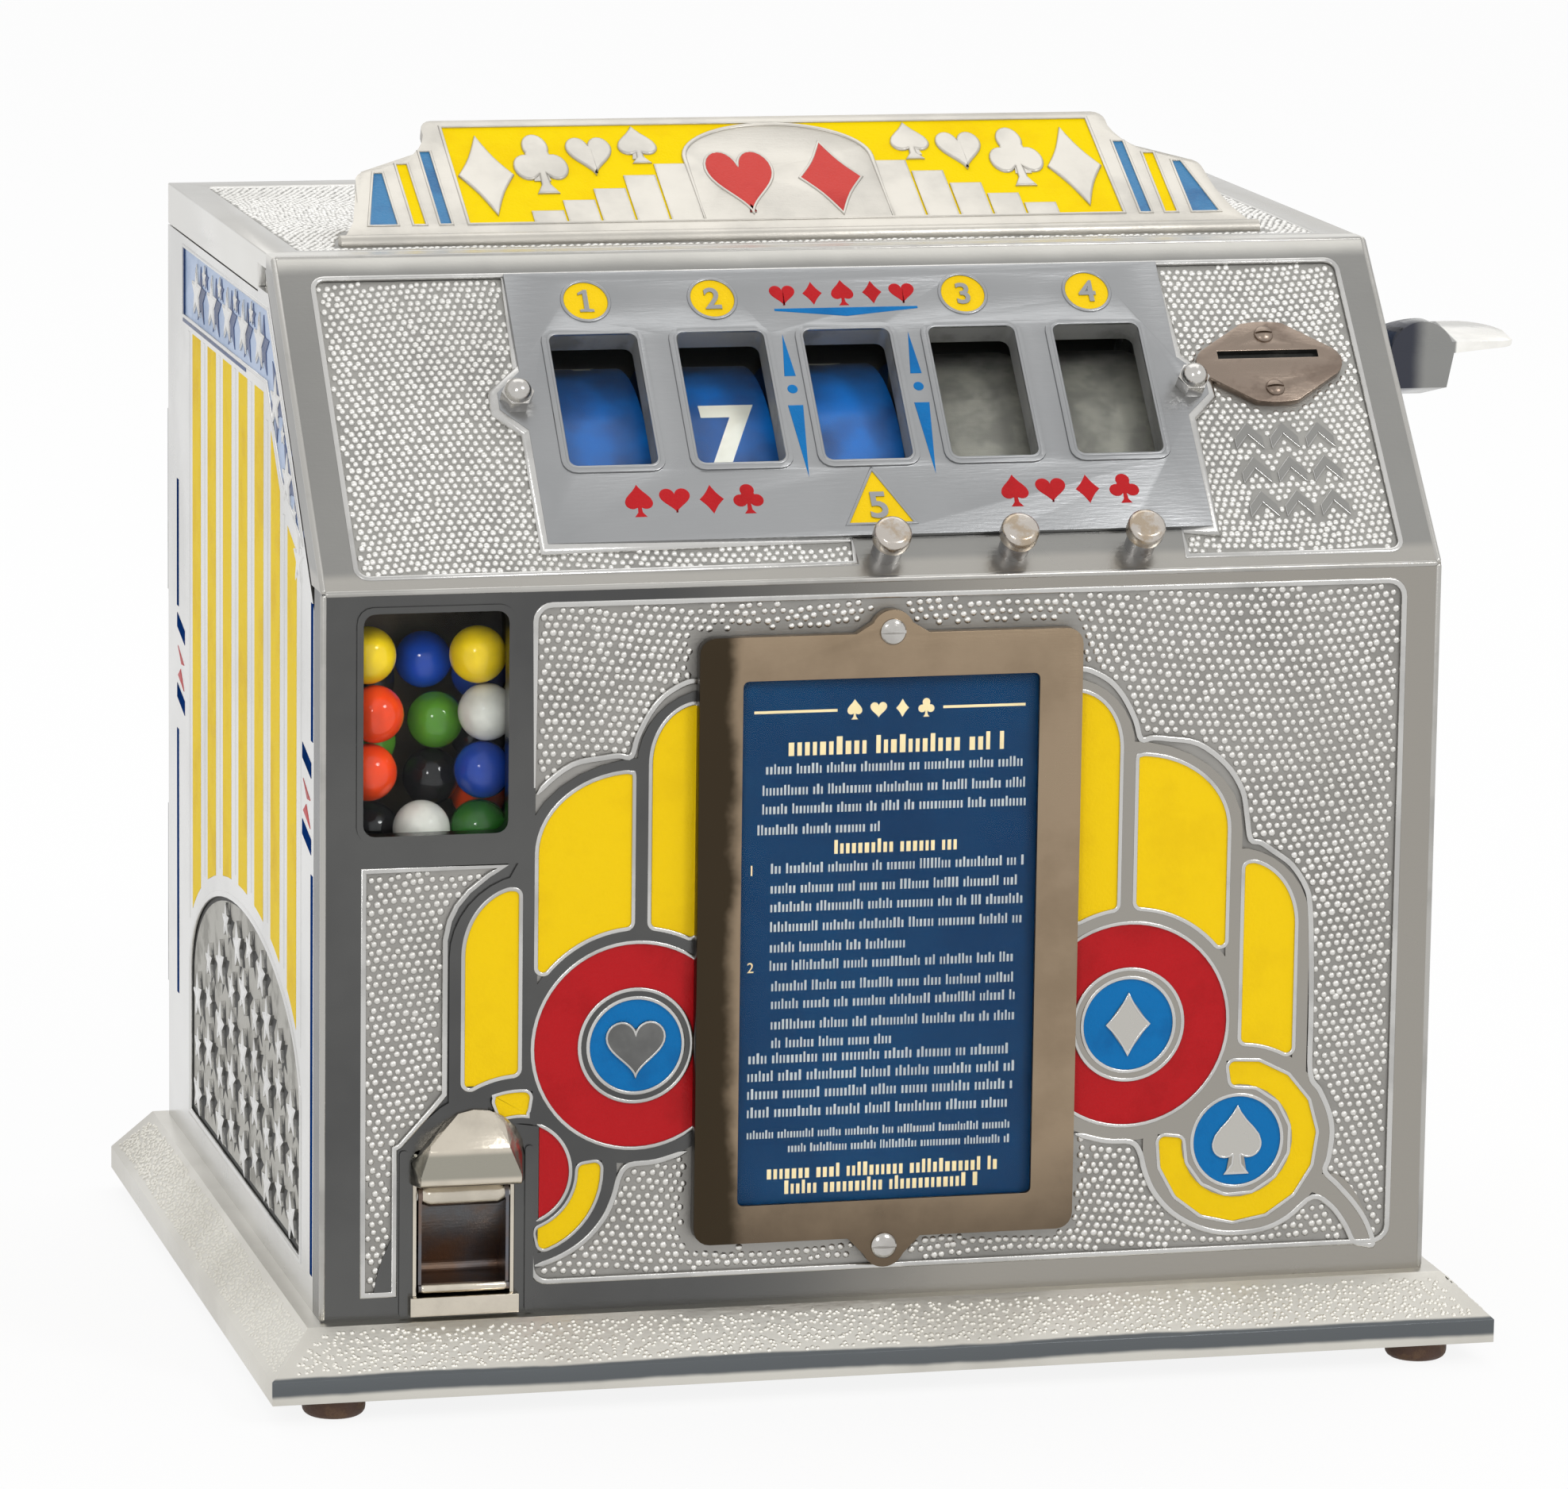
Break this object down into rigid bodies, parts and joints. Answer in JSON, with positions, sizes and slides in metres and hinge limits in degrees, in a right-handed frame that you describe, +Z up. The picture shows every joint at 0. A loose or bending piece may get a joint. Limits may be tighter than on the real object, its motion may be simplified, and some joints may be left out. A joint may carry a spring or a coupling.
{
  "type": "trade stimulator",
  "caption": "Counter-top coin machine in cast aluminium with number reels behind a sloping front, shutters, push buttons, side lever, gumball window and cup.",
  "frame": {"origin": "under the middle of the whole machine's bounding box, on the counter", "axes": "+X to the lever's side (the viewer's right), +Y from the front to the back, +Z up"},
  "size_m": [0.344, 0.252, 0.3079],
  "materials": {
    "cast_aluminium": "cast, part pebbled, part polished, with enamelled fields",
    "dark_painted_steel": "black paint",
    "foot_rubber": "brown rubber",
    "steel": "plain steel",
    "nickel_plate": "polished nickel plate",
    "window_plate_aluminium": "satin",
    "worn_nickel_bronze": "nickel over bronze, worn brown",
    "worn_brass": "nickel worn to brass at the edges",
    "brass": "turned",
    "dark_mirror_steel": "dark mirror",
    "clear_glass": "clear",
    "printed_card": "varnished print",
    "shutter_paint": "mottled olive paint",
    "reel_strip": "blue with cream numbers",
    "gum_shell": "sugar shell in six colours",
    "drum_plastic": "turned"
  },
  "bodies": {
    "cabinet": {"base_casting": "cast_aluminium", "bottom_plate": "dark_painted_steel", "feet": "foot_rubber", "foot_screws": "steel", "lower_front": "cast_aluminium", "upper_front": "cast_aluminium", "left_side": "cast_aluminium", "right_side": "cast_aluminium", "top_casting": "cast_aluminium", "marquee": "cast_aluminium", "door_hinge": "steel", "reel_window_plate": "window_plate_aluminium", "window_glass": "clear_glass", "plate_nuts": "nickel_plate", "coin_plate": "worn_nickel_bronze", "coin_plate_screws": "nickel_plate", "card_frame": "worn_nickel_bronze", "frame_screws": "nickel_plate", "instruction_card": "printed_card", "card_glass": "clear_glass", "gum_window_glass": "clear_glass", "cup_hood": "nickel_plate", "flap_pin": "nickel_plate", "lever_bush": "brass", "lever_spring": "steel", "button_springs": "steel", "reel_shaft": "steel", "mech_left_frame": "steel", "mech_right_frame": "steel", "tie_bars": "steel", "mech_base": "steel", "coin_chute": "steel", "cash_box": "steel", "gum_magazine": "steel", "gumballs": "gum_shell"},
    "door": {"rear_door": "cast_aluminium", "door_lock": "brass"},
    "cam": {"lock_cam": "steel"},
    "play_lever": {"lever": "nickel_plate", "lever_shaft": "steel", "lever_crank": "steel"},
    "flap": {"cup_flap": "dark_mirror_steel"},
    "button_house": {"house_button": "worn_brass"},
    "button_draw_3": {"draw_3_button": "worn_brass"},
    "button_draw_4": {"draw_4_button": "worn_brass"},
    "shutter_house": {"house_shutter": "shutter_paint"},
    "shutter_draw_3": {"draw_3_shutter": "shutter_paint"},
    "shutter_draw_4": {"draw_4_shutter": "shutter_paint"},
    "pawls": {"pawl_bar": "steel"},
    "gum_drum": {"gum_wheel": "drum_plastic"},
    "number_reel_1": {"reel_1": "reel_strip", "star_wheel_1": "steel"},
    "number_reel_2": {"reel_2": "reel_strip", "star_wheel_2": "steel"},
    "number_reel_3": {"reel_3": "reel_strip", "star_wheel_3": "steel"},
    "number_reel_4": {"reel_4": "reel_strip", "star_wheel_4": "steel"},
    "number_reel_5": {"reel_5": "reel_strip", "star_wheel_5": "steel"}
  },
  "joints": [
    {"name": "lever_press", "type": "hinge", "parent": "cabinet", "child": "play_lever", "pos_m": [0.138, -0.03, 0.247], "axis": [1, 0, 0], "range_deg": [0, 35], "stiffness_Nm_per_rad": 0.4, "springref_deg": -20.05},
    {"name": "pawl_lift", "type": "hinge", "parent": "cabinet", "child": "pawls", "pos_m": [-0.012, 0.01502, 0.1889], "axis": [1, 0, 0], "range_deg": [0, 6]},
    {"name": "gum_wheel_turn", "type": "hinge", "parent": "cabinet", "child": "gum_drum", "pos_m": [-0.1205, -0.084, 0.102], "axis": [1, 0, 0], "range_deg": [-110, 0]},
    {"name": "house_shutter_turn", "type": "hinge", "parent": "cabinet", "child": "shutter_house", "pos_m": [-0.012, -0.03604, 0.20648], "axis": [1, 0, 0], "range_deg": [-76, 0]},
    {"name": "house_button_press", "type": "slide", "parent": "cabinet", "child": "button_house", "axis": [0, 0.7288, -0.6848], "range_m": [0, 0.005], "stiffness_N_per_m": 200, "springref_m": -0.006, "deforming": ["button_springs"]},
    {"name": "draw_3_button_press", "type": "slide", "parent": "cabinet", "child": "button_draw_3", "axis": [0, 0.7288, -0.6848], "range_m": [0, 0.005], "stiffness_N_per_m": 400, "springref_m": -0.015, "deforming": ["button_springs"]},
    {"name": "draw_4_button_press", "type": "slide", "parent": "cabinet", "child": "button_draw_4", "axis": [0, 0.7288, -0.6848], "range_m": [0, 0.005], "stiffness_N_per_m": 400, "springref_m": -0.015, "deforming": ["button_springs"]},
    {"name": "draw_3_shutter_turn", "type": "hinge", "parent": "cabinet", "child": "shutter_draw_3", "pos_m": [0.0211, -0.03604, 0.20648], "axis": [1, 0, 0], "range_deg": [0, 76]},
    {"name": "draw_4_shutter_turn", "type": "hinge", "parent": "cabinet", "child": "shutter_draw_4", "pos_m": [0.0542, -0.03604, 0.20648], "axis": [1, 0, 0], "range_deg": [0, 76]},
    {"name": "cup_flap_swing", "type": "hinge", "parent": "cabinet", "child": "flap", "pos_m": [-0.1205, -0.1085, 0.0535], "axis": [1, 0, 0], "range_deg": [-75, 0], "stiffness_Nm_per_rad": 0.006, "springref_deg": 22.92},
    {"name": "rear_door_swing", "type": "hinge", "parent": "cabinet", "child": "door", "pos_m": [-0.153, 0.121, 0.14], "axis": [0, 0, 1], "range_deg": [0, 110]},
    {"name": "lock_turn", "type": "hinge", "parent": "door", "child": "cam", "pos_m": [0.116, 0.106, 0.15], "axis": [0, 1, 0], "range_deg": [0, 90]},
    {"name": "reel_1_spin", "type": "hinge", "parent": "cabinet", "child": "number_reel_1", "pos_m": [-0.0782, -0.03604, 0.20648], "axis": [1, 0, 0], "continuous": true},
    {"name": "reel_2_spin", "type": "hinge", "parent": "cabinet", "child": "number_reel_2", "pos_m": [-0.0451, -0.03604, 0.20648], "axis": [1, 0, 0], "continuous": true},
    {"name": "reel_3_spin", "type": "hinge", "parent": "cabinet", "child": "number_reel_3", "pos_m": [-0.012, -0.03604, 0.20648], "axis": [1, 0, 0], "continuous": true},
    {"name": "reel_4_spin", "type": "hinge", "parent": "cabinet", "child": "number_reel_4", "pos_m": [0.0211, -0.03604, 0.20648], "axis": [1, 0, 0], "continuous": true},
    {"name": "reel_5_spin", "type": "hinge", "parent": "cabinet", "child": "number_reel_5", "pos_m": [0.0542, -0.03604, 0.20648], "axis": [1, 0, 0], "continuous": true}
  ],
  "couplings": [
    {"joint": "pawl_lift", "follows": "lever_press", "ratio": 0.17143},
    {"joint": "gum_wheel_turn", "follows": "lever_press", "ratio": -3.1429},
    {"joint": "house_shutter_turn", "follows": "lever_press", "ratio": -2.1714},
    {"joint": "draw_3_shutter_turn", "follows": "draw_3_button_press", "rad_per_m": 265.29},
    {"joint": "draw_4_shutter_turn", "follows": "draw_4_button_press", "rad_per_m": 265.29}
  ]
}
